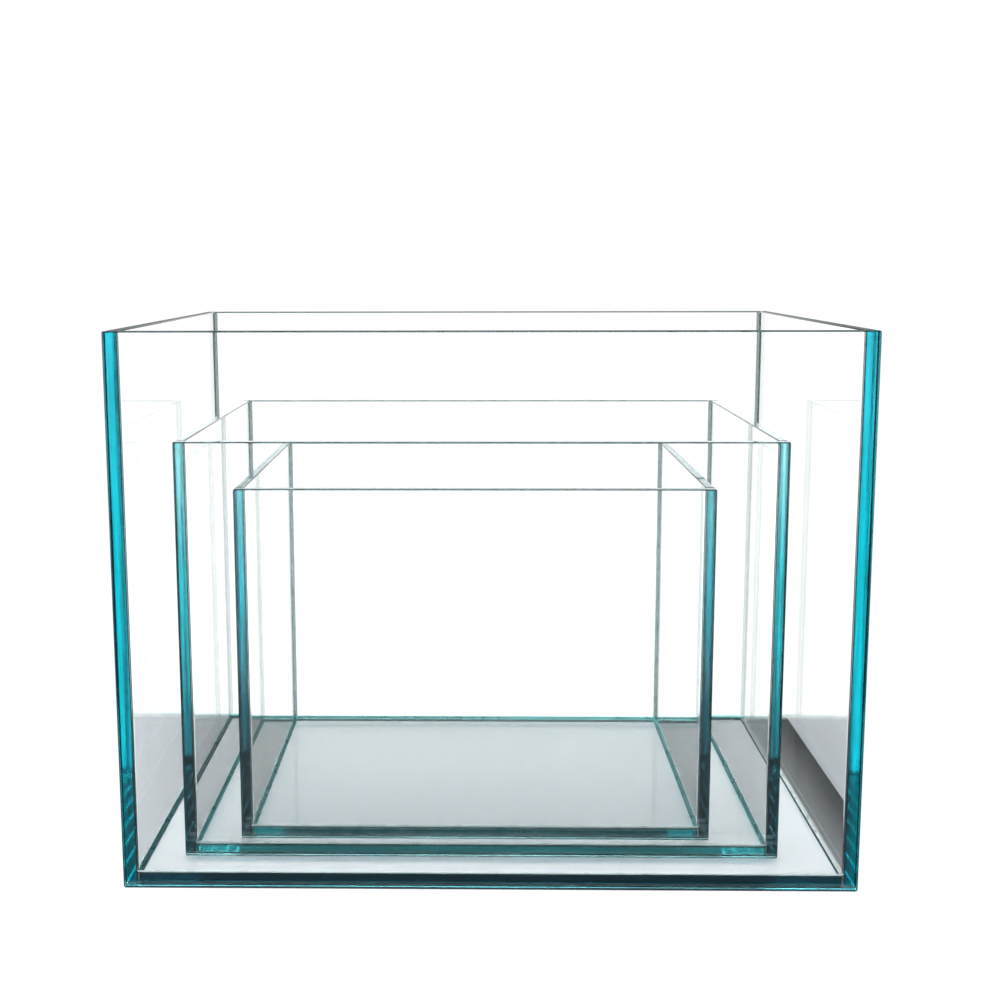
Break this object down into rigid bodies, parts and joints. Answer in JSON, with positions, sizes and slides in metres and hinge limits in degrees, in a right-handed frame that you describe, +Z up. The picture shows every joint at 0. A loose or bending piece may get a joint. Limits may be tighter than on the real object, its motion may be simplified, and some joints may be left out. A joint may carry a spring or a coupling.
{
  "type": "glass aquarium tank",
  "caption": "Rimless open-topped aquarium tank of clear polished panes bonded with clear silicone, holding smaller tanks of the same build that nest inside and lift straight out.",
  "frame": {"origin": "middle of the large tank's underside", "axes": "+X along the tanks' length, +Y from the front pane to the back pane, +Z up"},
  "size_m": [0.6, 0.35, 0.457],
  "materials": {
    "clear_glass": "polished float glass with a blue-green edge",
    "clear_silicone": "clear tooled silicone"
  },
  "bodies": {
    "large_tank": {"large_front_pane": "clear_glass", "large_back_pane": "clear_glass", "large_left_pane": "clear_glass", "large_right_pane": "clear_glass", "large_floor_pane": "clear_glass", "large_corner_seam_front_left": "clear_silicone", "large_corner_seam_front_right": "clear_silicone", "large_corner_seam_back_left": "clear_silicone", "large_corner_seam_back_right": "clear_silicone", "large_floor_seam_front": "clear_silicone", "large_floor_seam_right": "clear_silicone", "large_floor_seam_back": "clear_silicone", "large_floor_seam_left": "clear_silicone"},
    "medium_tank": {"medium_front_pane": "clear_glass", "medium_back_pane": "clear_glass", "medium_left_pane": "clear_glass", "medium_right_pane": "clear_glass", "medium_floor_pane": "clear_glass", "medium_corner_seam_front_left": "clear_silicone", "medium_corner_seam_front_right": "clear_silicone", "medium_corner_seam_back_left": "clear_silicone", "medium_corner_seam_back_right": "clear_silicone", "medium_floor_seam_front": "clear_silicone", "medium_floor_seam_right": "clear_silicone", "medium_floor_seam_back": "clear_silicone", "medium_floor_seam_left": "clear_silicone"},
    "small_tank": {"small_front_pane": "clear_glass", "small_back_pane": "clear_glass", "small_left_pane": "clear_glass", "small_right_pane": "clear_glass", "small_floor_pane": "clear_glass", "small_corner_seam_front_left": "clear_silicone", "small_corner_seam_front_right": "clear_silicone", "small_corner_seam_back_left": "clear_silicone", "small_corner_seam_back_right": "clear_silicone", "small_floor_seam_front": "clear_silicone", "small_floor_seam_right": "clear_silicone", "small_floor_seam_back": "clear_silicone", "small_floor_seam_left": "clear_silicone"}
  },
  "joints": [
    {"name": "medium_lift", "type": "slide", "parent": "large_tank", "child": "medium_tank", "axis": [0, 0, 1], "range_m": [0, 0.467]},
    {"name": "small_lift", "type": "slide", "parent": "medium_tank", "child": "small_tank", "axis": [0, 0, 1], "range_m": [0, 0.367]}
  ]
}
